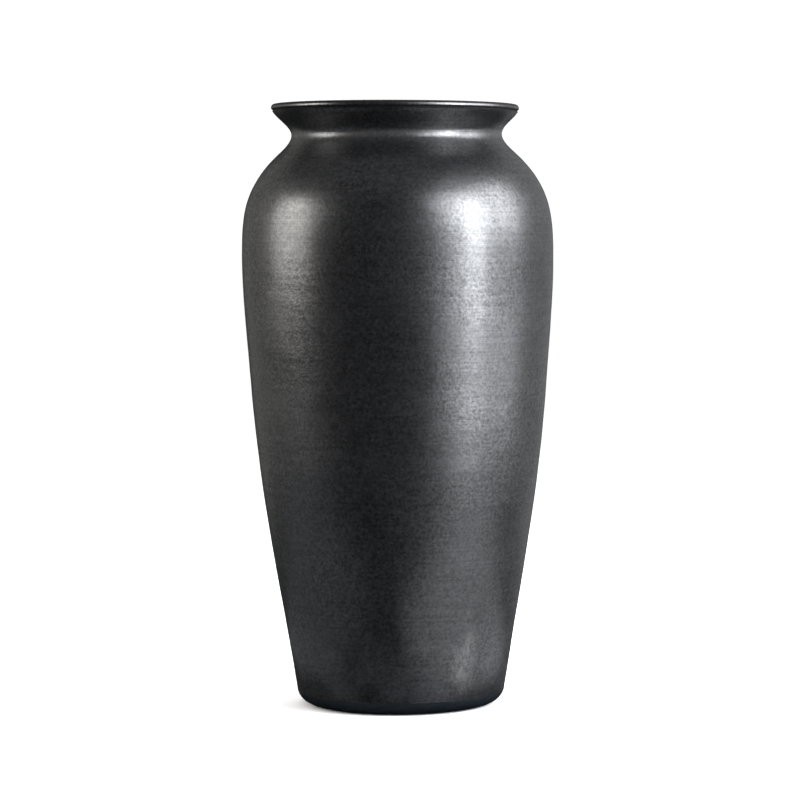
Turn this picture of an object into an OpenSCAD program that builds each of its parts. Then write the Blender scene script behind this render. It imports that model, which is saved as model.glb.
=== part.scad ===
// Tall black clay jar, built up by hand from rolls of clay, scraped, burnished with
// a quartz pebble and fired in smoke. Each node is one piece of clay as the potter
// laid it. Neighbours meet on a slanted, scored joint, face to face.
// The origin is on the ground, at the middle of the foot, with +Z up.

/* [Jar] */
// Overall height, from the ground to the top of the lip
jar_h = 400; // [340:5:480]
// Widest outside diameter, at the belly
belly_d = 207.2; // [190:0.2:230]
// Narrowest outside diameter, at the neck
neck_d = 140; // [124:1:150]
// Outside diameter of the lip
lip_d = 164.8; // [156:0.2:180]
// Outside diameter at the top of the foot band
foot_d = 138; // [124:0.2:150]

/* [Foot] */
// Height of the bevelled band around the foot
foot_band_h = 9; // [7:0.5:13]
// How far the band turns in, from its top to the ground
foot_inset = 12; // [8:0.5:16]
// How round the band is, from a straight bevel at 0 to a full quarter turn at 1
foot_round = 0.65; // [0:0.05:1]
// Width of the ring that the jar stands on
stand_ring_w = 10; // [6:0.5:20]
// Depth of the hollow under the floor, so that the jar doesn't rock
underside_hollow = 2; // [0.5:0.1:3]
// Width of the roll pressed into the inside corner, along the floor
corner_coil_w = 11; // [7:0.5:16]

/* [Walls] */
// Thickness of the wall at the foot
foot_wall_t = 8; // [6:0.1:10]
// Thickness of the wall at the rim
rim_wall_t = 4.6; // [4:0.1:6]
// Thickness of the rolled lip, from its underside to its top
lip_t = 4.1; // [3.6:0.1:6]

/* [Joints] */
// How far a wall joint slants, from the outside of the wall to the inside
joint_slant = 7; // [3:0.5:8]
// Number of score lines around each joint
score_lines = 3; // [1:1:3]
// Depth of each score line
score_depth = 0.6; // [0.2:0.1:0.6]

/* [Hidden] */

$fn = 128;

burnished_black = "#3b3c40";
wiped_black = "#1f2124";
raw_black = "#2b2b2d";

foot_r = foot_d / 2;
belly_r = belly_d / 2;
neck_r = neck_d / 2;

// The lip is a flattened roll, round at both edges, and fuller above its widest line than
// below it. The crease under its outer edge is where the round edge stops, this many
// degrees below the widest line.
lip_round = lip_t / 2;
lip_above = 0.63 * lip_t;
lip_below = lip_t - lip_above;
crease_angle = 70;
crease_drop = lip_above + lip_below * sin(crease_angle);

// Height of the rim's top edge, which turns in under the lip to the crease
crease_h = 0.8;
// How much lower the joint between the rim and the lip is on the inside
lip_joint_fall = 3.4;

// Depths below the top of the lip: where the rim meets the lip outside and inside, the
// rim's joint, the narrowest place of the neck, the foot of the neck, and the middle of
// the shoulder
rim_drop = crease_drop + crease_h;
rim_inner_drop = rim_drop + lip_joint_fall;
rim_joint_drop = 14;
neck_drop = 20.7;
neck_foot_drop = 34;
shoulder_drop = 55;

// How far the lip overhangs the rim
lip_overhang = 0.8;
rim_r = lip_d / 2 - lip_overhang;

// The outside of the wall is a smooth curve through these stations.
// Each is [height, radius, lean], where lean is the radius gained per mm of rise.
OUTLINE = [
    [foot_band_h, foot_r, 0.165],
    [0.325 * jar_h, foot_r + 0.58 * (belly_r - foot_r), 0.155],
    [0.525 * jar_h, foot_r + 0.84 * (belly_r - foot_r), 0.075],
    [0.75 * jar_h, belly_r, 0],
    [jar_h - shoulder_drop, neck_r + 0.775 * (belly_r - neck_r), -0.51],
    [jar_h - neck_foot_drop, neck_r + 0.29 * (belly_r - neck_r), -1.08],
    [jar_h - neck_drop, neck_r, 0],
    [jar_h - rim_drop, rim_r, 0.6],
];

// Radius at height z on the cubic that joins two stations
function span_r(a, b, z) =
    let (h = b[0] - a[0], t = (z - a[0]) / h)
    pow(1 - t, 2) * ((1 + 2 * t) * a[1] + t * h * a[2])
    + pow(t, 2) * ((3 - 2 * t) * b[1] + (t - 1) * h * b[2]);

function span_at(z, i = 0) =
    i == len(OUTLINE) - 2 || z < OUTLINE[i + 1][0] ? i : span_at(z, i + 1);

function outer_r(z) = let (i = span_at(z)) span_r(OUTLINE[i], OUTLINE[i + 1], z);
function lean(z, dz = 0.01) = (outer_r(z + dz) - outer_r(z - dz)) / (2 * dz);

function wall_t(z) = foot_wall_t + (rim_wall_t - foot_wall_t) * z / jar_h;

// A point on the outside of the wall, and the point square across the wall from it
function outer_pt(z) = [outer_r(z), z];
function inner_pt(z) =
    let (s = lean(z), k = wall_t(z) / norm([1, s]))
    [outer_r(z) - k, z + k * s];

function outer_line(z0, z1, steps) = [for (i = [0:steps]) outer_pt(z0 + (z1 - z0) * i / steps)];
function inner_line(z0, z1, steps) = [for (i = [0:steps]) inner_pt(z0 + (z1 - z0) * i / steps)];
function reversed(line) = [for (i = [len(line) - 1:-1:0]) line[i]];

// The line across a joint, with a ridge for each score line. Both pieces use it,
// so the ridges of one lie in the grooves of the other.
function scored_line(p, q) =
    let (along = q - p, side = [-along[1], along[0]] / norm(along), last = 2 * score_lines)
    [for (i = [0:last]) p + along * i / last + side * (i % 2) * score_depth];

// A joint is [height outside, height inside], both measured along the outside curve.
// Below the belly each roll is laid on the outside of the one under it, and above
// the belly on the inside, which widens the jar and then draws it in.
function widening(z) = [z, z + joint_slant];
function narrowing(z) = [z, z - joint_slant];
function joint_line(joint) = scored_line(outer_pt(joint[0]), inner_pt(joint[1]));

roll_h = (0.5625 * jar_h - foot_band_h) / 3;
foot_joint = [foot_band_h, foot_band_h];
lower_joint = widening(foot_band_h + roll_h);
middle_joint = widening(foot_band_h + 2 * roll_h);
belly_joint = widening(foot_band_h + 3 * roll_h);
shoulder_joint = narrowing(0.775 * jar_h);
mid_shoulder_joint = narrowing(jar_h - shoulder_drop - 4);
neck_joint = narrowing(jar_h - neck_foot_drop);
rim_joint = [jar_h - rim_joint_drop, jar_h - rim_joint_drop - 1];

// A curve from a to b that leans towards a corner, from straight at 0 to fully at 1
function bend(a, b, corner, share, steps) =
    let (mid = (a + b) / 2, pull = mid + (corner - mid) * share)
    [for (i = [0:steps]) let (t = i / steps)
        pow(1 - t, 2) * a + 2 * t * (1 - t) * pull + pow(t, 2) * b];

// Steps of the outline in each kind of piece
wall_steps = 12;
bend_steps = 16;

// A ring of wall from one joint to the next
module wall_ring(low, high, steps) {
    rotate_extrude()
        polygon(concat(
            outer_line(low[0], high[0], steps),
            joint_line(high),
            reversed(inner_line(low[1], high[1], steps)),
            reversed(joint_line(low))
        ));
}

// The flat floor with the bevelled foot band around it
seat_in = inner_pt(foot_band_h);
module foot_disc() {
    stand_r = foot_r - foot_inset;
    ring_in = stand_r - stand_ring_w;
    hollow_r = ring_in - 2 * underside_hollow;
    band = bend([stand_r, 0], [foot_r, foot_band_h], [foot_r, 0], foot_round, 8);
    color(wiped_black)
        rotate_extrude()
            polygon(concat(
                [[0, underside_hollow], [hollow_r, underside_hollow], [ring_in, 0]],
                band,
                joint_line(foot_joint),
                [[0, seat_in[1]]]
            ));
}

// The roll smeared into the corner between the floor and the wall. It follows the
// wall for the first two steps of lower_wall's outline.
smear = 0.75;
module corner_coil() {
    against_wall = [for (i = [0:2]) inner_pt(foot_band_h + roll_h * i / wall_steps)];
    top = against_wall[2];
    toe = [seat_in[0] - corner_coil_w, seat_in[1]];
    hollow_face = bend(top, toe, seat_in, smear, 8);
    color(raw_black)
        rotate_extrude()
            polygon(concat([seat_in, against_wall[1]], hollow_face));
}

module lower_wall() {
    color(burnished_black)
        wall_ring(foot_joint, lower_joint, wall_steps);
}

module middle_wall() {
    color(burnished_black)
        wall_ring(lower_joint, middle_joint, wall_steps);
}

module upper_wall() {
    color(burnished_black)
        wall_ring(middle_joint, belly_joint, wall_steps);
}

module belly() {
    color(burnished_black)
        wall_ring(belly_joint, shoulder_joint, bend_steps);
}

module lower_shoulder() {
    color(burnished_black)
        wall_ring(shoulder_joint, mid_shoulder_joint, bend_steps);
}

module upper_shoulder() {
    color(burnished_black)
        wall_ring(mid_shoulder_joint, neck_joint, bend_steps);
}

module neck() {
    color(burnished_black)
        wall_ring(neck_joint, rim_joint, bend_steps);
}

// The lip is laid on the rim: two round edges joined by a flat top
function lip_edge(centre, a) =
    centre + [lip_round * cos(a), (sin(a) > 0 ? lip_above : lip_below) * sin(a)];
lip_mid_z = jar_h - lip_above;
lip_out = [lip_d / 2 - lip_round, lip_mid_z];
crease_pt = lip_edge(lip_out, -crease_angle);
rim_inner_z = jar_h - rim_inner_drop;
rim_inner_pt = inner_pt(rim_inner_z);
lip_in = [rim_inner_pt[0] + lip_round * cos(crease_angle), lip_mid_z];
lip_joint_line = scored_line(crease_pt, rim_inner_pt);

module flared_rim() {
    rim_steps = 8;
    color(burnished_black)
        rotate_extrude()
            polygon(concat(
                outer_line(rim_joint[0], jar_h - rim_drop, rim_steps),
                lip_joint_line,
                reversed(inner_line(rim_joint[1], rim_inner_z, rim_steps)),
                reversed(joint_line(rim_joint))
            ));
}

module rolled_lip() {
    round_steps = 10;
    function lip_arc(centre, from, to) = [
        for (i = [0:round_steps])
            lip_edge(centre, from + (to - from) * i / round_steps)
    ];
    color(burnished_black)
        rotate_extrude()
            polygon(concat(
                lip_arc(lip_out, -crease_angle, 90),
                lip_arc(lip_in, 90, 180 + crease_angle),
                reversed(lip_joint_line)
            ));
}

foot_disc();
corner_coil();
lower_wall();
middle_wall();
upper_wall();
belly();
lower_shoulder();
upper_shoulder();
neck();
flared_rim();
rolled_lip();
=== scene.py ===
# %% [markdown]
# # A tall jar of burnished black clay
#
# The jar is built up on a turning plate from a floor disc and thick rolls of clay.
# Each roll is pinched up into a ring of wall, and the next one is laid on its slanted,
# scored edge. When the clay is leather hard it is scraped and rubbed with a wet quartz
# pebble, and a fire that is starved of air then turns it black and shiny.
#
# The measured construction comes from the frame. This lesson gives each clay piece the
# surface that a hand leaves, makes the three finishes, and sets up a plain studio.

# %% Load the frame
import math

import bmesh
import bpy
from mathutils import Matrix, Quaternion, Vector


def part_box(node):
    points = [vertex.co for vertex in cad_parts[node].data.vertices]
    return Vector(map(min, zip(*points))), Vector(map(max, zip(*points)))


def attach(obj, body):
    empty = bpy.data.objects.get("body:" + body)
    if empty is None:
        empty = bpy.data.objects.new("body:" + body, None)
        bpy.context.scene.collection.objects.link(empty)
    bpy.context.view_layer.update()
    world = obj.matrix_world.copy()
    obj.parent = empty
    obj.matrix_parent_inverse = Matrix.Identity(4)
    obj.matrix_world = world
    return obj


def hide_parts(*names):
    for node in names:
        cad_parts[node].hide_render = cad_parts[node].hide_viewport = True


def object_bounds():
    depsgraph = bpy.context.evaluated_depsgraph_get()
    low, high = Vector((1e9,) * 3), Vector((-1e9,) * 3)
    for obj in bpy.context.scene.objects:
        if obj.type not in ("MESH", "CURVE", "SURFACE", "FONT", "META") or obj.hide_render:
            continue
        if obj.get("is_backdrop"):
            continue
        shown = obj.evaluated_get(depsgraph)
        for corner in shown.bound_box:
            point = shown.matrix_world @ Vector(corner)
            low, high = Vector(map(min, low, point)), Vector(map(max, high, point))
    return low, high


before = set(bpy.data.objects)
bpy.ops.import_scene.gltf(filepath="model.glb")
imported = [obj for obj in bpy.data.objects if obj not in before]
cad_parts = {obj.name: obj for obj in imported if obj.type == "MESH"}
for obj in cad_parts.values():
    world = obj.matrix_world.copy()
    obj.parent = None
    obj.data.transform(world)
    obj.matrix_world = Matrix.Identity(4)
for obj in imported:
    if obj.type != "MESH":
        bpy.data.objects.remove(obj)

MM = 0.001
cad_low, cad_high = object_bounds()
jar_top = cad_high.z
belly_r = cad_high.x
foot_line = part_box("lower_wall")[0].z
print(f"jar {jar_top / MM:.0f} mm tall, {2 * belly_r / MM:.0f} mm across the belly")

# %% [markdown]
# ## Where the eye is
#
# The jar is seen from about two metres away through a long lens, from a little below the
# height of its lip. The lip is then almost a straight line and the foot a shallow curve.
# A far camera keeps a tall object's sides honest. It is turned by half a degree, because
# a hand-built jar and a hand-held camera are never both upright.

# %% Camera
EYE_DISTANCE = 5.48 * jar_top
EYE_HEIGHT = 0.826 * jar_top
EYE_ASIDE = 0.8 * MM
LOOK_DOWN = math.radians(3.332)
ROLL = math.radians(0.45)
LENS_MM = 148
SENSOR_MM = 36
FAR_CLIP = 100

camera_data = bpy.data.cameras.new("eye")
camera_data.lens = LENS_MM
camera_data.sensor_width = SENSOR_MM
camera_data.clip_end = FAR_CLIP
camera = bpy.data.objects.new("eye", camera_data)
camera.location = (EYE_ASIDE, -EYE_DISTANCE, EYE_HEIGHT)
camera.rotation_mode = "QUATERNION"
look = Quaternion((1, 0, 0), math.pi / 2 - LOOK_DOWN)
camera.rotation_quaternion = look @ Quaternion((0, 0, 1), -ROLL)
bpy.context.scene.collection.objects.link(camera)
bpy.context.scene.camera = camera
print(f"camera {EYE_DISTANCE:.2f} m away, {EYE_HEIGHT:.2f} m up")

# %% [markdown]
# ## Wires that can be added up
#
# Shader and geometry trees are mostly small sums. Wrapping a socket in a class that
# overloads + - * / lets a sum be written as a sum, and each operator adds one Math node.
# Every other node comes from one method that takes its type, settings and inputs.


# %% Wire and Bench
class Wire:
    """An output socket that can be used in sums with numbers and other wires."""

    def __init__(self, bench, socket):
        self.bench = bench
        self.socket = socket

    def math(self, operation, *others):
        values = dict(enumerate((self, *others)))
        return self.bench.node("ShaderNodeMath", {"operation": operation}, values)[0]

    def __add__(self, other):
        return self.math("ADD", other)

    def __mul__(self, other):
        return self.math("MULTIPLY", other)

    def __sub__(self, other):
        return self.math("SUBTRACT", other)

    def __rsub__(self, other):
        return self.math("MULTIPLY_ADD", -1.0, other)

    def __truediv__(self, other):
        return self.math("DIVIDE", other)

    __radd__ = __add__
    __rmul__ = __mul__


class Made:
    """A node that has been added; made["Name"] or made[0] is one of its outputs."""

    def __init__(self, bench, node):
        self.bench = bench
        self.node = node

    def __getitem__(self, key):
        return Wire(self.bench, self.node.outputs[key])


class Bench:
    """Adds nodes to one tree."""

    def __init__(self, tree):
        self.tree = tree

    def node(self, kind, settings=None, values=None):
        node = self.tree.nodes.new(kind)
        for name, value in (settings or {}).items():
            setattr(node, name, value)
        for key, value in (values or {}).items():
            if isinstance(value, Wire):
                self.tree.links.new(value.socket, node.inputs[key])
            else:
                node.inputs[key].default_value = value
        return Made(self, node)

    def ease(self, value, low, high, start=0.0, end=1.0):
        """A smooth step from start to end as value goes from low to high."""
        return self.node(
            "ShaderNodeMapRange",
            {"interpolation_type": "SMOOTHSTEP"},
            {"Value": value, "From Min": low, "From Max": high, "To Min": start, "To Max": end},
        )["Result"]

    def vector(self, operation, *values, out="Vector"):
        """One Vector Math node, with its vectors in order."""
        chosen = {"operation": operation}
        return self.node("ShaderNodeVectorMath", chosen, dict(enumerate(values)))[out]

    def scaled(self, vector, factor):
        chosen = {"operation": "SCALE"}
        return self.node("ShaderNodeVectorMath", chosen, {0: vector, "Scale": factor})[0]

    def rotated(self, vector, axis, angle):
        chosen = {"rotation_type": axis}
        return self.node("ShaderNodeVectorRotate", chosen, {"Vector": vector, "Angle": angle})[0]

    def noise(self, where, size, detail, seed):
        """Soft random values about 0. The size of a feature is in metres, or is one size
        for each axis."""
        scale = 1.0
        if isinstance(size, tuple):
            where = self.vector("DIVIDE", where, size)
        else:
            scale = 1 / size
        return self.node(
            "ShaderNodeTexNoise",
            {"noise_dimensions": "4D"},
            {"Vector": where, "W": seed, "Scale": scale, "Detail": detail},
        )[0] - 0.5

    def attribute(self, name):
        """A number stored on the geometry."""
        return self.node("GeometryNodeInputNamedAttribute", None, {"Name": name})[0]

    def store(self, geometry, name, value, domain, kind="FLOAT"):
        """The geometry with a value stored on each point, edge or face."""
        return self.node(
            "GeometryNodeStoreNamedAttribute",
            {"data_type": kind, "domain": domain},
            {"Geometry": geometry, "Name": name, "Value": value},
        )["Geometry"]


# %% [markdown]
# ## The shape of each clay ring
#
# Every piece of this jar is a ring about the upright axis. Its shape is therefore one
# flat outline, which the frame already holds: it is the row of edges where the ring's
# mesh meets the XZ plane. Walking along those edges gives the outline in order. A flat
# floor has no such edges, so an open outline is led in to the axis at both ends. Points
# in the middle of a straight run say nothing, so they are dropped.

# %% Read the outlines from the frame
WELD = 1e-6
STRAIGHT = 1e-4


def turn_at(before, here, after):
    """How far a path turns at a point, in radians."""
    return (here - before).angle(after - here)


def walk(links, start):
    """The points in order from start, and whether they come back to it."""
    path = [start]
    step = links[start][0]
    while step is not None and step is not start:
        path.append(step)
        onward = [v for v in links[step] if v is not path[-2]]
        step = onward[0] if onward else None
    return path, step is start


def read_outline(node):
    """A ring's section as points with x for the radius, and whether it is a loop."""
    bm = bmesh.new()
    bm.from_mesh(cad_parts[node].data)
    bmesh.ops.remove_doubles(bm, verts=bm.verts, dist=WELD)
    links = {}
    for edge in bm.edges:
        ends = edge.verts
        if all(abs(v.co.y) < WELD and v.co.x > -WELD for v in ends):
            links.setdefault(ends[0], []).append(ends[1])
            links.setdefault(ends[1], []).append(ends[0])
    start = min(links, key=lambda v: (len(links[v]), v.co.z, v.co.x))
    path, looped = walk(links, start)
    points = [Vector((v.co.x, 0, v.co.z)) for v in path]
    bm.free()
    if not looped:
        points = [Vector((0, 0, points[0].z)), *points, Vector((0, 0, points[-1].z))]
    if sum(a.x * b.z - b.x * a.z for a, b in zip(points, points[1:] + points[:1])) < 0:
        points.reverse()
    onward = points[1:] + points[:1]
    ends = () if looped else (points[0], points[-1])
    return [
        here
        for before, here, after in zip(points[-1:] + points, points, onward)
        if here in ends or turn_at(before, here, after) > STRAIGHT
    ], looped


outlines = {}
loops = {}
for node in sorted(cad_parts):
    outlines[node], loops[node] = read_outline(node)
    print(f"{node}: {len(outlines[node])} outline points, {'a loop' if loops[node] else 'open'}")

# %% [markdown]
# ## Joints and skins
#
# An edge that two rings share is part of a joint. It is kept point for point, so that
# both rings agree. All other edges are skin. The outline is cut at its real corners,
# where a joint starts or ends, and where a level edge does, because the ring that the
# jar stands on has to stay flat. Each cut piece is a stretch of one joint or one skin.

# %% Cut the outlines into stretches
CORNER = math.radians(20)


def shared(node, point):
    """Whether another ring's outline has this point too."""
    others = (p for other, row in outlines.items() if other != node for p in row)
    return any((p - point).length < 2 * WELD for p in others)


def is_level(a, b):
    return abs(a.z - b.z) < WELD


def cut_outline(node):
    """A ring's stretches in order, each as (points, whether it is in a joint)."""
    points = outlines[node]
    count = len(points)
    edges = count if loops[node] else count - 1
    held = [shared(node, p) for p in points]
    joint = [held[i] and held[(i + 1) % count] for i in range(edges)]
    cuts = [
        i
        for i in range(edges)
        if (not loops[node] and i == 0)
        or joint[i] != joint[i - 1]
        or is_level(points[i - 1], points[i]) != is_level(points[i], points[(i + 1) % count])
        or turn_at(points[i - 1], points[i], points[(i + 1) % count]) > CORNER
    ]
    stops = cuts[1:] + [cuts[0] + edges]
    wrapped = points + points
    return [(wrapped[a:b + 1], joint[a]) for a, b in zip(cuts, stops)]


stretches = {node: cut_outline(node) for node in outlines}
skins = [(node, row) for node, rows in stretches.items() for row, joint in rows if not joint]
print(f"{len(skins)} skins on {len(stretches)} rings")

# %% [markdown]
# ## From short edges to a smooth skin
#
# A cubic through the points of a skin gives back the curve that the wall was drawn
# with. Where the next ring carries the same curve on, both rings use the same slope at
# the joint, so that the polish runs over it without a line. One extra point close to
# each end keeps the shading true right up to the edge.

# %% Smooth a skin
SAME_CURVE = math.radians(10)
NEAR_END = 0.03


def carried_on(node, here, inner):
    """The next point past the end of a skin at here, if another ring carries it on."""
    for other, row in skins:
        for first, second in ((row[0], row[1]), (row[-1], row[-2])):
            meets = other != node and (first - here).length < 2 * WELD
            if meets and (second - first).angle(here - inner) < SAME_CURVE:
                return second
    return None


def slope_between(before, here, after):
    """The direction of a smooth curve at here, from its neighbours on both sides."""
    back, forth = here - before, after - here
    return (back.normalized() * forth.length + forth.normalized() * back.length).normalized()


def end_slope(beyond, here, inner, inner_slope):
    """The slope at the end of a skin, into the skin: carried on, or as a round arc."""
    if beyond:
        return slope_between(beyond, here, inner)
    chord = (inner - here).normalized()
    return 2 * inner_slope.dot(chord) * chord - inner_slope


def slopes_along(node, row):
    """The slope of the smooth curve at each point of a skin."""
    inner = [slope_between(a, b, c) for a, b, c in zip(row, row[1:], row[2:])]
    if not inner:
        return [(row[1] - row[0]).normalized()] * 2
    first = end_slope(carried_on(node, row[0], row[1]), row[0], row[1], inner[0])
    last = end_slope(carried_on(node, row[-1], row[-2]), row[-1], row[-2], -inner[-1])
    return [first, *inner, -last]


def smooth(node, row, spacing):
    """Points about spacing apart on the smooth curve through row, without the last."""
    slopes = slopes_along(node, row)
    curve = []
    for i, (a, b) in enumerate(zip(row, row[1:])):
        length = (b - a).length
        count = max(1, round(length / spacing))
        shares = [k / count for k in range(count)]
        if i == 0:
            shares.insert(1, NEAR_END / count)
        if i == len(row) - 2:
            shares.append(1 - NEAR_END / count)
        for t in shares:
            pull = (1 - t) * slopes[i] - t * slopes[i + 1]
            curve.append(a.lerp(b, t * t * (3 - 2 * t)) + t * (1 - t) * length * pull)
    return curve


# %% [markdown]
# ## A lathe in Geometry Nodes
#
# Turning an outline round an axis is a rule, so the lathe is a node tree. A grid has one
# row for each spoke and one column for each outline point. Each grid point looks up its
# outline point by its column and is swung round by its row. The seam and the poles are
# then merged. Marks on the outline are carried along to say which faces look inwards
# and which points are sharp corners.

# %% Swing the outline round
SPOKES = 192


def swing_outline(bench, outline, spokes, is_loop):
    """A closed skin of revolution that carries the marks of the outline."""
    counted = bench.node("GeometryNodeAttributeDomainSize", {"component": "MESH"}, {0: outline})
    count = counted["Point Count"]
    columns = count + is_loop
    corners = {"Vertices X": spokes + 1, "Vertices Y": columns}
    grid = bench.node("GeometryNodeMeshGrid", None, corners)
    index = bench.node("GeometryNodeInputIndex")[0]
    column = index.math("MODULO", columns).math("MODULO", count)
    angle = (index / columns).math("FLOOR") * (2 * math.pi) / spokes
    clay = grid["Mesh"]
    marks = (
        ("looks_in", "FACE", index.math("MODULO", columns - 1)),
        ("pressed", "POINT", column),
        ("corner", "POINT", column),
    )
    for name, domain, where in marks:
        sought = {"Geometry": outline, "Value": bench.attribute(name), "Index": where}
        found = bench.node("GeometryNodeSampleIndex", None, sought)
        clay = bench.store(clay, name, found["Value"], domain)
    place = bench.node(
        "GeometryNodeSampleIndex",
        {"data_type": "FLOAT_VECTOR"},
        {"Geometry": outline, "Value": bench.node("GeometryNodeInputPosition")[0], "Index": column},
    )["Value"]
    swung = bench.rotated(place, "Z_AXIS", angle)
    placed = bench.node("GeometryNodeSetPosition", None, {"Geometry": clay, "Position": swung})
    merged = {"Geometry": placed["Geometry"], "Distance": WELD}
    return bench.node("GeometryNodeMergeByDistance", None, merged)["Geometry"]


# %% [markdown]
# ## Crisp corners
#
# Smooth shading would round off the foot's edge and the crease under the lip. An edge is
# sharp when both its ends came from the same corner of the outline, because then it runs
# round the jar along that corner. Each corner has a number of its own, from 1 up, and
# all other points have 0.

# %% Sharpen the corners
HALF_MARK = 0.5


def sharpen(bench, clay):
    """The clay with its corner edges marked sharp."""
    ends = bench.node("GeometryNodeInputMeshEdgeVertices")
    mark = bench.attribute("corner")
    corners = [
        bench.node("GeometryNodeFieldAtIndex", None, {"Index": ends[i], "Value": mark})[0]
        for i in range(2)
    ]
    same = (corners[0] - corners[1]).math("ABSOLUTE").math("LESS_THAN", HALF_MARK)
    is_corner = corners[0].math("GREATER_THAN", HALF_MARK)
    return bench.store(clay, "sharp_edge", same * is_corner, "EDGE", "BOOLEAN")


# %% [markdown]
# ## Marks of the hand
#
# A jar raised by hand is never quite round. The wall wanders in and out by a quarter of
# a millimetre. Inside, the fingers that pinched up each roll leave a spiral of shallow
# ridges, which stop short of the floor and fade into the smoothed throat. The rolled lip
# sits a millimetre off centre and a little low, and dips by less than a degree towards
# one side of the back. All of this depends only on the place, so neighbouring rings still
# meet. The level of each point before these marks is stored, for the finishes to use.

# %% Leave the marks
BROAD_WANDER = 60 * MM
BROAD_SHARE = 4
BAND_WANDER = (70 * MM, 70 * MM, 11 * MM)
RIDGE_DRIFT = 4
RIDGE_START = 2
RIDGES_FROM = (35 * MM, 70 * MM)
RIDGES_TO = (jar_top - 50 * MM, jar_top - 30 * MM)
LIP_LAID = (jar_top - 18 * MM, jar_top - 4 * MM)
CENTRE_CALM = 30 * MM


def leave_marks(bench, clay, given):
    """The clay pushed in and out by the hand, with the level of each point stored."""
    here = bench.node("GeometryNodeInputPosition")[0]
    axes = bench.node("ShaderNodeSeparateXYZ", None, {0: here})
    spoke = bench.vector("MULTIPLY", here, (1, 1, 0))
    radius = bench.vector("LENGTH", spoke, out="Value")
    outward = bench.vector("NORMALIZE", spoke)
    broad = bench.noise(here, BROAD_WANDER, detail=1, seed=given["Seed"])
    bands = bench.noise(here, BAND_WANDER, detail=1, seed=given["Seed"] + 1)
    wander = given["Unevenness"] * (broad * BROAD_SHARE + bands)
    around = axes["Y"].math("ARCTAN2", axes["X"])
    drift = bench.noise(here, BROAD_WANDER, detail=1, seed=given["Seed"] + 2) * RIDGE_DRIFT
    climb = axes["Z"] * (2 * math.pi) / given["Ridge Pitch"]
    spiral = (climb - around + drift + RIDGE_START).math("SINE")
    reach = bench.ease(axes["Z"], *RIDGES_FROM) * bench.ease(axes["Z"], *RIDGES_TO, start=1, end=0)
    ridges = given["Ridge Depth"] * spiral * reach * bench.attribute("pressed")
    push = (wander + ridges) * bench.ease(radius, 0, CENTRE_CALM)
    moved = bench.scaled(outward, push)
    dip = bench.vector("DOT_PRODUCT", here, given["Lip Slope"], out="Value")
    down = bench.node("ShaderNodeCombineXYZ", None, {"Z": dip})[0]
    laid = bench.vector("SUBTRACT", given["Lip Shift"], down)
    laid = bench.scaled(laid, bench.ease(axes["Z"], *LIP_LAID))
    offset = bench.vector("ADD", moved, laid)
    clay = bench.store(clay, "level", axes["Z"], "POINT")
    return bench.node("GeometryNodeSetPosition", None, {"Geometry": clay, "Offset": offset})[0]


# %% [markdown]
# ## The whole tree
#
# The tree's inputs are named, so that one lathe serves all eleven pieces. It ends by
# giving the faces their finishes, the outside one first and then the inward-looking one.

# %% Build the lathe
LATHE_INPUTS = {
    "Outline": "NodeSocketGeometry",
    "Spokes": "NodeSocketInt",
    "Is Loop": "NodeSocketBool",
    "Outside Finish": "NodeSocketMaterial",
    "Inside Finish": "NodeSocketMaterial",
    "Unevenness": "NodeSocketFloat",
    "Ridge Depth": "NodeSocketFloat",
    "Ridge Pitch": "NodeSocketFloat",
    "Lip Shift": "NodeSocketVector",
    "Lip Slope": "NodeSocketVector",
    "Seed": "NodeSocketInt",
}


def make_lathe():
    tree = bpy.data.node_groups.new("potters_lathe", "GeometryNodeTree")
    for name, kind in LATHE_INPUTS.items():
        tree.interface.new_socket(name, in_out="INPUT", socket_type=kind)
    tree.interface.new_socket("Clay", in_out="OUTPUT", socket_type="NodeSocketGeometry")
    bench = Bench(tree)
    given = bench.node("NodeGroupInput")
    clay = swing_outline(bench, given["Outline"], given["Spokes"], given["Is Loop"])
    clay = sharpen(bench, clay)
    clay = leave_marks(bench, clay, given)
    clay = bench.node("GeometryNodeRealizeInstances", None, {"Geometry": clay})["Geometry"]
    chosen = {"Outside Finish": True, "Inside Finish": bench.attribute("looks_in")}
    for finish, where in chosen.items():
        clay = bench.node(
            "GeometryNodeSetMaterial",
            None,
            {"Geometry": clay, "Selection": where, "Material": given[finish]},
        )["Geometry"]
    bench.node("NodeGroupOutput", None, {"Clay": clay})
    return tree


lathe = make_lathe()
print(f"lathe: {len(lathe.nodes)} nodes")

# %% [markdown]
# ## Three finishes of one clay
#
# The outside is rubbed, the foot band is wiped, and the inside is left raw. All three
# finishes are mixed from the same kind of marks: the grain of the clay, the lines of a
# tool, and the broad clouds of the smoke. A recipe says how much of each mark goes into
# a colour, a roughness or a relief. The patterns read the object's own coordinates in
# metres, so each one has its real size. What depends on the height reads the level that
# the lathe stored, so it follows the lip where it dips.

# %% Finish helpers
GRAIN = 1.75 * MM
PATCH = 45 * MM


def new_finish(name):
    material = bpy.data.materials.new(name)
    material.use_nodes = True
    material.node_tree.nodes.clear()
    return material, Bench(material.node_tree)


def finish_with(bench, shader):
    bench.node("ShaderNodeOutputMaterial", None, {"Surface": shader})


def place_on_jar(bench):
    return bench.node("ShaderNodeTexCoord")["Object"]


def level_on_jar(bench):
    """The height before the marks of the hand, which the lathe stored."""
    return bench.node("ShaderNodeAttribute", {"attribute_name": "level"})["Fac"]


def patches(bench, here, limits, detail, seed):
    """Broad patches of 1 on 0, where the noise rises past these limits."""
    return bench.ease(bench.noise(here, PATCH, detail=detail, seed=seed), *limits)


def mixture(marks, recipe):
    """A recipe is a base, and how much of each named mark is added to it."""
    total, shares = recipe
    for name, share in shares.items():
        total = marks[name] * share + total
    return total


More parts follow.
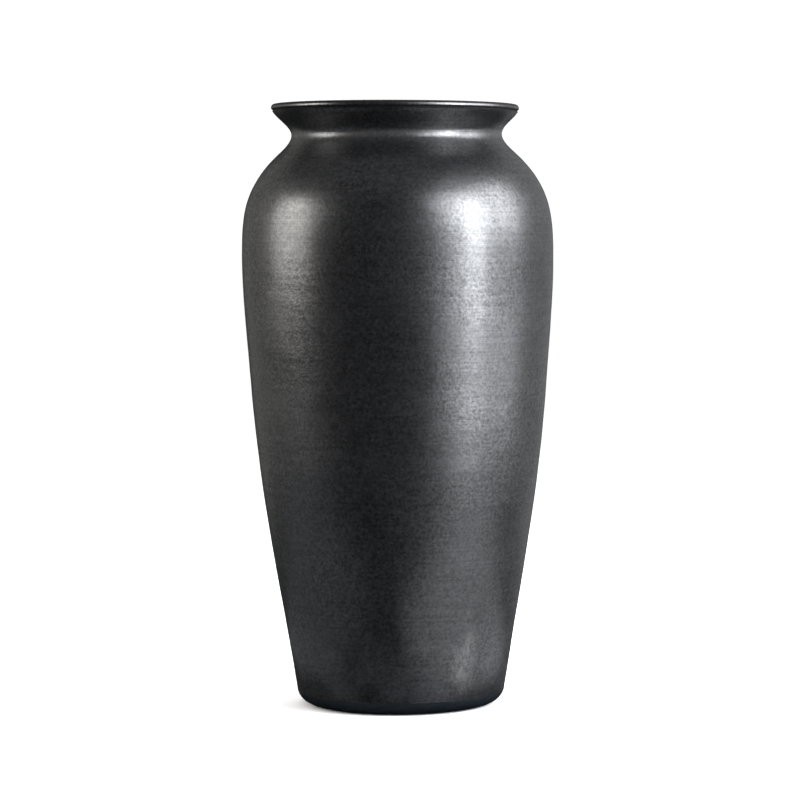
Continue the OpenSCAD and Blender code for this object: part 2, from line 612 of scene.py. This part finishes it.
def mixed_colour(bench, share, first, second, blend="MIX"):
    chosen = {"data_type": "RGBA", "blend_type": blend}
    colours = {"Factor": share, "A": first, "B": second}
    return bench.node("ShaderNodeMix", chosen, colours)["Result"]


def grey(bench, value, tint):
    """A colour with the given brightness and a constant tint."""
    plain = bench.node("ShaderNodeCombineColor", None, {0: value, 1: value, 2: value})[0]
    return mixed_colour(bench, 1.0, plain, (*tint, 1), "MULTIPLY")


def relief(bench, height):
    """A surface normal from a height in metres."""
    full = {"Strength": 1.0, "Distance": 1.0, "Height": height}
    return bench.node("ShaderNodeBump", None, full)["Normal"]


def surface(bench, values):
    return bench.node("ShaderNodeBsdfPrincipled", None, values)["BSDF"]


def blended(bench, share, first, second):
    """Two shaders: only the first at a share of 0, and only the second at 1."""
    return bench.node("ShaderNodeMixShader", None, {0: share, 1: first, 2: second})[0]


# %% [markdown]
# ## The marks of the pebble
#
# The skin is rubbed in strokes that run round the jar as level lines, and some patches
# have slanted strokes across them and a few hairline scratches. Smoke leaves broad
# clouds. Noise gives all of these without a picture, stretched along the strokes.

# %% Marks of the pebble
LEVEL_LINE = (50 * MM, 50 * MM, 1.1 * MM)
STROKE = (80 * MM, 80 * MM, 6 * MM)
STROKE_SLANT = math.radians(12.5)
HAIRLINE = 0.012
OPEN_GRAIN = (-0.1, 0.12)
CROSSED = (0.0, 0.12)
SCRATCHED = (0.08, 0.18)


def pebble_marks(bench, here):
    """The marks on the rubbed skin, by name."""
    grain = bench.noise(here, GRAIN, detail=2, seed=11)
    slanted = bench.rotated(here, "Y_AXIS", STROKE_SLANT)
    crossing = bench.noise(slanted, LEVEL_LINE, detail=1, seed=9)
    hairlines = 1 - bench.ease(crossing.math("ABSOLUTE"), 0, HAIRLINE)
    return {
        "lines": bench.noise(here, LEVEL_LINE, detail=2, seed=3),
        "strokes": bench.noise(here, STROKE, detail=2, seed=7),
        "grain": grain,
        "clouds": bench.noise(here, PATCH, detail=3, seed=17),
        "open_grain": grain * patches(bench, here, OPEN_GRAIN, detail=1, seed=19),
        "crossing": crossing * patches(bench, here, CROSSED, detail=1, seed=21),
        "scratches": hairlines * patches(bench, here, SCRATCHED, detail=1, seed=25),
    }


# %% [markdown]
# ## The rim, the dust, and painted sheen and shade
#
# The lip is rubbed well, but the pebble can't reach into the crease under it, and the
# top of the lip is dull, as it is on a jar that has been stood upside down. The black of
# the flared rim and the lip is painted darker, as painted shade under the flare, and the
# groove of the neck is painted a lighter grey, as a painted reflection in that hollow
# ring. One small lighter smear lies at the foot, and dust lies low on the wall. Each of
# these is found by its height or its place, and noise breaks up the dust, the painted
# sheen and the smear.

# %% Rim, dust, painted neck sheen and smear
RIM_FROM = (jar_top - 18 * MM, jar_top - 12 * MM)
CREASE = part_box("flared_rim")[1].z
CREASE_SPREAD = 1.6 * MM
LIP_WORN = (jar_top - 1.9 * MM, jar_top - 1.1 * MM)
FOOT_DUST = 60 * MM
DUSTY = (-0.05, 0.1)
# Painted sheen in the groove of the neck: a lighter grey that stands in for a reflection there.
NECK = jar_top - 21 * MM
NECK_SHEEN_SPREAD = 4 * MM
NECK_SHEEN_LAYER = (0.9, {"grain": 1.0, "clouds": 1.0})
NECK_SHEEN_COVER = 0.45
SMEAR_AT = (42 * MM, -61 * MM, 38 * MM)
SMEAR_SIZE = (10 * MM, 10 * MM, 32 * MM)
SMEAR_EDGE = 14 * MM
SMEAR_WANDER = 1.8
SMEAR_FADE = (0.2, 1.2)
DRIP = (2.5 * MM, 2.5 * MM, 6 * MM)
DRIP_FADE = (-0.12, 0.12)
DRIP_COVER = (0.25, 1.1)


def rim_marks(bench, height):
    """The rim, where the black is painted darker as shade, the lip on it, and where they are dull.
    """
    crease = bench.ease((height - CREASE).math("ABSOLUTE"), 0, CREASE_SPREAD, start=1, end=0)
    return {
        "rim": bench.ease(height, *RIM_FROM),
        "lip": bench.ease(height, CREASE, CREASE + CREASE_SPREAD),
        "dull": crease + bench.ease(height, *LIP_WORN),
    }


def foot_dust(bench, here, height):
    """Dust on the lowest part of the wall, in patches."""
    low = bench.ease(height, foot_line, foot_line + FOOT_DUST, start=1, end=0)
    return low * patches(bench, here, DUSTY, detail=3, seed=27)


def neck_painted_sheen(bench, height, marks):
    """Painted sheen: a lighter grey in the groove of the neck that stands in for a reflection,
    uneven like the clay under it.
    """
    groove = bench.ease((height - NECK).math("ABSOLUTE"), 0, NECK_SHEEN_SPREAD, start=1, end=0)
    return groove * mixture(marks, NECK_SHEEN_LAYER) * NECK_SHEEN_COVER


def foot_smear(bench, here):
    """One lighter smear, stretched upright and thinner between its drips."""
    away = bench.vector("SUBTRACT", here, SMEAR_AT)
    away = bench.vector("DIVIDE", away, SMEAR_SIZE)
    away = bench.vector("LENGTH", away, out="Value")
    away = away + bench.noise(here, SMEAR_EDGE, detail=3, seed=35) * SMEAR_WANDER
    drips = bench.noise(here, DRIP, detail=3, seed=33)
    cover = bench.ease(drips, *DRIP_FADE, *DRIP_COVER)
    return bench.ease(away, *SMEAR_FADE, start=1, end=0) * cover


# %% [markdown]
# ## Burnished black clay
#
# Rubbing with a pebble lays the clay's plates flat, so the skin shines like pencil lead:
# almost black, with a soft grey sheen. One glossy shader would look like glaze. So the
# finish mixes two clays, one polished and one that the pebble missed, and the grain of
# the clay decides between them. The sheen is then made of fine specks.

# %% Burnished finish
SMOKE_TINT = (0.88, 1.0, 1.25)
# A lighter grey, used for the painted sheen in the neck and for the smear at the foot.
SHEEN_AND_SMEAR_GREY = (0.032, 0.032, 0.032, 1)
BLACK_SHADE = (0.0028, {"clouds": 0.003, "grain": 0.019})
# Painted shade: the black is made darker over the flared rim and the lip.
RIM_PAINTED_SHADE = (1.0, {"rim": -0.5})
DUST_SHADE = 0.005
SKIN_DEPTH = (0.0, {
    "grain": 0.05 * MM,
    "open_grain": 0.04 * MM,
    "lines": 0.02 * MM,
    "crossing": 0.03 * MM,
    "strokes": 0.03 * MM,
    "scratches": -0.01 * MM,
})
SKIN_ROUGHNESS = (0.32, {"clouds": 0.12, "strokes": 0.08, "dust": 0.05})
POLISH = (0.62, {
    "grain": 0.82,
    "open_grain": 0.6,
    "lines": 0.5,
    "clouds": 0.3,
    "scratches": -0.3,
    "rim": -0.06,
    "lip": 0.28,
    "dull": -1.2,
})


def burnish(bench, here, height):
    """The pebble-rubbed skin: polish over clay that the pebble missed in small specks."""
    marks = {**pebble_marks(bench, here), **rim_marks(bench, height)}
    marks["dust"] = foot_dust(bench, here, height)
    # Where the lighter grey goes: painted sheen in the groove of the neck, and the smear at the
    # foot.
    sheen_and_smear = neck_painted_sheen(bench, height, marks) + foot_smear(bench, here)
    # Painted shade: the black is darker over the flared rim and the lip.
    shade = mixture(marks, BLACK_SHADE) * mixture(marks, RIM_PAINTED_SHADE)
    black = grey(bench, shade + marks["dust"] * DUST_SHADE, SMOKE_TINT)
    black = mixed_colour(bench, sheen_and_smear, black, SHEEN_AND_SMEAR_GREY)
    skin = relief(bench, mixture(marks, SKIN_DEPTH))
    missed = surface(bench, {
        "Base Color": black,
        "Roughness": 0.6,
        "IOR": 1.35,
        "Normal": skin,
    })
    polished = surface(bench, {
        "Base Color": black,
        "Roughness": mixture(marks, SKIN_ROUGHNESS),
        "IOR": 2.05,
        "Normal": skin,
    })
    return blended(bench, mixture(marks, POLISH), missed, polished)


def make_burnished():
    material, bench = new_finish("burnished_black_clay")
    finish_with(bench, burnish(bench, place_on_jar(bench), level_on_jar(bench)))
    return material


# %% [markdown]
# ## The foot band and the raw inside
#
# The band round the foot is trimmed with a knife and wiped, not rubbed, so it stays a
# dull soot black. The inside is out of the pebble's reach. It keeps the open grain of
# the clay and the drag marks of wet fingers. The pebble does get a little way down the
# throat, so there the burnished skin fades into the raw one along an uneven edge.

# %% Wiped and raw finishes
SOOT_TINT = (0.55, 1.0, 1.4)
SOOT_SHADE = (0.007, {"clouds": 0.004, "pits": 0.008})
SOOT_ROUGHNESS = (0.5, {"clouds": 0.15})
SOOT_DEPTH = (0.0, {"lines": 0.06 * MM, "pits": 0.08 * MM})
RAW_TINT = (1.0, 0.99, 0.97)
RAW_SHADE = (0.02, {"clouds": 0.012, "pits": 0.008})
RAW_ROUGHNESS = (0.75, {"clouds": 0.15})
RAW_DEPTH = (0.0, {"drag": 0.15 * MM, "pits": 0.12 * MM})
WIPE_LINE = (40 * MM, 40 * MM, 1.4 * MM)
FINGER_DRAG = (60 * MM, 60 * MM, 2 * MM)
THROAT = (jar_top - 34 * MM, jar_top - 22 * MM)
THROAT_WANDER = 30 * MM


def make_wiped():
    material, bench = new_finish("wiped_black_foot")
    here = place_on_jar(bench)
    marks = {
        "lines": bench.noise(here, WIPE_LINE, detail=2, seed=23),
        "pits": bench.noise(here, GRAIN, detail=3, seed=29),
        "clouds": bench.noise(here, PATCH, detail=2, seed=31),
    }
    finish_with(bench, surface(bench, {
        "Base Color": grey(bench, mixture(marks, SOOT_SHADE), SOOT_TINT),
        "Roughness": mixture(marks, SOOT_ROUGHNESS),
        "IOR": 1.35,
        "Normal": relief(bench, mixture(marks, SOOT_DEPTH)),
    }))
    return material


def make_raw():
    material, bench = new_finish("raw_black_inside")
    here = place_on_jar(bench)
    height = level_on_jar(bench)
    marks = {
        "drag": bench.noise(here, FINGER_DRAG, detail=3, seed=37),
        "pits": bench.noise(here, GRAIN, detail=3, seed=41),
        "clouds": bench.noise(here, PATCH, detail=2, seed=43),
    }
    rough_clay = surface(bench, {
        "Base Color": grey(bench, mixture(marks, RAW_SHADE), RAW_TINT),
        "Roughness": mixture(marks, RAW_ROUGHNESS),
        "Normal": relief(bench, mixture(marks, RAW_DEPTH)),
    })
    reach = bench.ease(height + marks["clouds"] * THROAT_WANDER, *THROAT)
    rubbed = burnish(bench, here, height)
    finish_with(bench, blended(bench, reach, rough_clay, rubbed))
    return material


burnished = make_burnished()
wiped = make_wiped()
raw = make_raw()
print("finishes:", ", ".join(m.name for m in (burnished, wiped, raw)))

# %% [markdown]
# ## Turn each piece
#
# The outline goes into the lathe as a row of points with three marks: which edges look
# into the jar, which points the fingers pressed from inside, and which are corners. The
# wall gets a point every millimetre and a half, and the small lip needs finer steps.

# %% Turn the pieces
WALL_STEP = 1.5 * MM
LIP_STEP = 0.4 * MM
hand = {
    "Unevenness": 0.25 * MM,
    "Ridge Depth": 0.4 * MM,
    "Ridge Pitch": 11 * MM,
    "Lip Shift": (-0.9 * MM, 0, -0.7 * MM),
    "Lip Slope": (0.0105, 0.0085, 0),
    "Seed": 4,
}


def runs_down(row):
    """A skin that runs down the outline faces the hollow."""
    return row[-1].z < row[0].z - LIP_STEP


def ends_above_foot(row):
    """On the floor disc, only the top ends at the axis above the foot's middle."""
    return row[-1].x < WELD and row[-1].z > foot_line / 2


def never(row):
    return False


def outline_mesh(node, spacing, inside):
    """The smooth outline as a row of points, marked for the lathe."""
    points, edges_in, corners = [], [], []
    for row, joint in stretches[node]:
        curve = row[:-1] if joint else smooth(node, row, spacing)
        corners += [len(points) + 1] + [0] * (len(curve) - 1)
        edges_in += [float(not joint and inside(row))] * len(curve)
        points += curve
    if not loops[node]:
        corners.append(len(points) + 1)
        edges_in.append(edges_in[-1])
        points.append(row[-1])
    pressed = [max(edges_in[i], edges_in[i - 1]) for i in range(len(points))]
    mesh = bpy.data.meshes.new(node + "_outline")
    mesh.from_pydata(points, [(i, i + 1) for i in range(len(points) - 1)], [])
    for name, marks in (("looks_in", edges_in), ("pressed", pressed), ("corner", corners)):
        mesh.attributes.new(name, "FLOAT", "POINT").data.foreach_set("value", marks)
    return mesh


def turn(node, outside, inside=runs_down, spacing=WALL_STEP):
    """One clay piece in place of a CAD ring."""
    shape = bpy.data.objects.new(node + "_outline", outline_mesh(node, spacing, inside))
    bpy.context.scene.collection.objects.link(shape)
    modifier = shape.modifiers.new("lathe", "NODES")
    modifier.node_group = lathe
    values = {
        "Spokes": SPOKES,
        "Is Loop": loops[node],
        "Outside Finish": outside,
        "Inside Finish": raw,
        **hand,
    }
    for item in lathe.interface.items_tree:
        if item.name in values:
            modifier[item.identifier] = values[item.name]
    depsgraph = bpy.context.evaluated_depsgraph_get()
    clay = bpy.data.meshes.new_from_object(shape.evaluated_get(depsgraph))
    bpy.data.objects.remove(shape)
    clay.name = node + "_clay"
    clay.materials.pop(index=0)
    clay.shade_smooth()
    piece = bpy.data.objects.new(node + "_clay", clay)
    bpy.context.scene.collection.objects.link(piece)
    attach(piece, "root")
    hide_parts(node)
    return piece


wall_rings = [
    "lower_wall", "middle_wall", "upper_wall", "belly", "lower_shoulder", "upper_shoulder",
    "neck", "flared_rim",
]
pieces = [turn(node, burnished) for node in wall_rings]
pieces.append(turn("rolled_lip", burnished, never, LIP_STEP))
pieces.append(turn("foot_disc", wiped, ends_above_foot))
pieces.append(turn("corner_coil", raw))

# %% [markdown]
# ## Weigh the clay
#
# Every piece is solid clay, so its skin has no open edge. A positive volume shows that
# its faces point outwards.

# %% Measure the pieces
MILLILITRE = 1e-6

for piece in pieces:
    bm = bmesh.new()
    bm.from_mesh(piece.data)
    volume = bm.calc_volume(signed=True) / MILLILITRE
    open_edges = sum(not e.is_manifold for e in bm.edges)
    print(f"{piece.name}: {len(bm.faces)} faces, {volume:.1f} ml of clay, {open_edges} open edges")
    bm.free()

# %% [markdown]
# ## A plain studio
#
# A pale floor runs out to a pale surround. They are bright for the eye and for the soft
# fill, but not for reflections, because a black, shiny jar is lit by what it mirrors: in
# a white room it would look grey all over. The room it mirrors is almost dark.

# %% Surround and floor
FLOOR_GREY = 0.92
SURROUND = 1.0 / FLOOR_GREY
MIRRORED_ROOM = 0.012
WHITE = (1, 1, 1, 1)
ROOM_TINT = (0.9, 1, 1.2, 1)
FLOOR_RADIUS = 30
FLOOR_SIDES = 96
PAPER_SHADE = (FLOOR_GREY, {"paper": 0.02})

world = bpy.data.worlds.new("studio")
bpy.context.scene.world = world
world.use_nodes = True
world.node_tree.nodes.clear()
bench = Bench(world.node_tree)
mirrored = bench.node("ShaderNodeLightPath")["Is Glossy Ray"]
bright = bench.node("ShaderNodeBackground", None, {"Color": WHITE, "Strength": SURROUND})[0]
dim = bench.node("ShaderNodeBackground", None, {"Color": ROOM_TINT, "Strength": MIRRORED_ROOM})[0]
seen = blended(bench, mirrored, bright, dim)
bench.node("ShaderNodeOutputWorld", None, {"Surface": seen})

floor_mesh = bpy.data.meshes.new("floor")
bm = bmesh.new()
bmesh.ops.create_circle(bm, cap_ends=True, segments=FLOOR_SIDES, radius=FLOOR_RADIUS)
bm.to_mesh(floor_mesh)
bm.free()
floor = bpy.data.objects.new("floor", floor_mesh)
bpy.context.scene.collection.objects.link(floor)
floor_finish, bench = new_finish("pale_floor")
marks = {"paper": bench.noise(place_on_jar(bench), PATCH, detail=3, seed=47)}
finish_with(bench, surface(bench, {
    "Base Color": grey(bench, mixture(marks, PAPER_SHADE), WHITE[:3]),
    "Roughness": 0.9,
    "Specular IOR Level": 0.0,
}))
floor_mesh.materials.append(floor_finish)
floor.visible_glossy = False
floor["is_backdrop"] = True

# %% [markdown]
# ## Soft panels and bounce cards
#
# The broad sheen on the right is a big cool panel with a brighter tube in it. The
# narrower one on the left is a small warm panel with a lamp in its upper part. A top
# panel behind the jar and a faint ceiling panel light the mouth and the shoulder. Two
# faint panels behind the jar keep its edges off black, and three cards lying on the floor
# lift the lower wall. A panel's size is an angle seen from the jar, and a strength of 1
# is as bright as white paper in the surround's light.

# %% Panels
PANEL_DISTANCE = 1.5
CARD_LIFT = 3 * MM
UP = Vector((0, 0, 1))
AIM = Vector((0, 0, 0.6 * jar_top))
COOL = (0.975, 1.0, 1.045)
COLD = (0.94, 1.0, 1.1)
WARM = (1.035, 1.0, 0.97)
OLIVE = (1.0, 1.0, 0.94)
NEUTRAL = (1.0, 1.0, 1.0)


def from_azimuth(degrees):
    """A level direction. 0 points to the eye's side, and right is positive."""
    angle = math.radians(degrees)
    return Vector((math.sin(angle), -math.cos(angle), 0))


def add_light(name, centre, facing, upward, size, strength, colour):
    data = bpy.data.lights.new(name, "AREA")
    data.shape = "RECTANGLE"
    data.size, data.size_y = size
    data.energy = strength * math.pi * size[0] * size[1]
    data.color = colour
    light = bpy.data.objects.new(name, data)
    across = upward.cross(-facing).normalized()
    axes = Matrix((across, (-facing).cross(across), -facing)).transposed()
    light.matrix_world = Matrix.Translation(centre) @ axes.to_4x4()
    light.visible_camera = False
    bpy.context.scene.collection.objects.link(light)


def add_panel(name, azimuth, height, width, tall, strength, colour=NEUTRAL):
    """A panel that faces the jar. Its place and its size are in degrees."""
    rise = math.radians(height)
    towards = from_azimuth(azimuth) * math.cos(rise) + UP * math.sin(rise)
    size = [2 * PANEL_DISTANCE * math.tan(math.radians(angle) / 2) for angle in (width, tall)]
    centre = AIM + PANEL_DISTANCE * towards
    add_light(name, centre, -towards, UP, size, strength, colour)


def add_card(name, azimuth, near, far, width, strength, colour=NEUTRAL):
    """A card lying on the floor, shining up. It reaches from near to far, in metres."""
    out = from_azimuth(azimuth)
    middle = (near + far) / 2
    size = (2 * middle * math.tan(math.radians(width) / 2), far - near)
    add_light(name, out * middle + UP * CARD_LIFT, UP, out, size, strength, colour)


# name, azimuth, height, width, tall, strength, tint
add_panel("right_panel", 67, 24, 65, 36, 8.2, COOL)
add_panel("right_tube", 56.5, 13, 14, 41, 16, COOL)
add_panel("left_panel", -83, 13, 31, 29, 6.2, WARM)
add_panel("left_lamp", -80, 25, 8, 8, 8, WARM)
add_panel("top_panel", 172, 61, 32, 25, 5)
add_panel("ceiling_panel", -60, 72, 70, 50, 0.18)
add_panel("edge_panel_right", 124, 11, 78, 58, 0.48)
add_panel("edge_panel_left", -126, 13, 58, 54, 0.36, OLIVE)
# name, azimuth, near, far, width, strength, tint
add_card("left_card", -82, 0.12, 0.9, 46, 0.22, COLD)
add_card("near_card", 58, 0.1, 0.7, 46, 0.9, COOL)
add_card("far_card", 65, 1.0, 1.8, 62, 7.1, COOL)
bpy.context.scene.view_settings.view_transform = "Standard"

# %% [markdown]
# ## The size of the jar
#
# The box of the finished pieces is compared with the box of the measured jar, and how
# much it grows along each axis is printed.

# %% Sizes
visual_low, visual_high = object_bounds()
growth = (visual_high - visual_low) - (cad_high - cad_low)
print("box grows by", [f"{side / MM:.2f} mm" for side in growth])
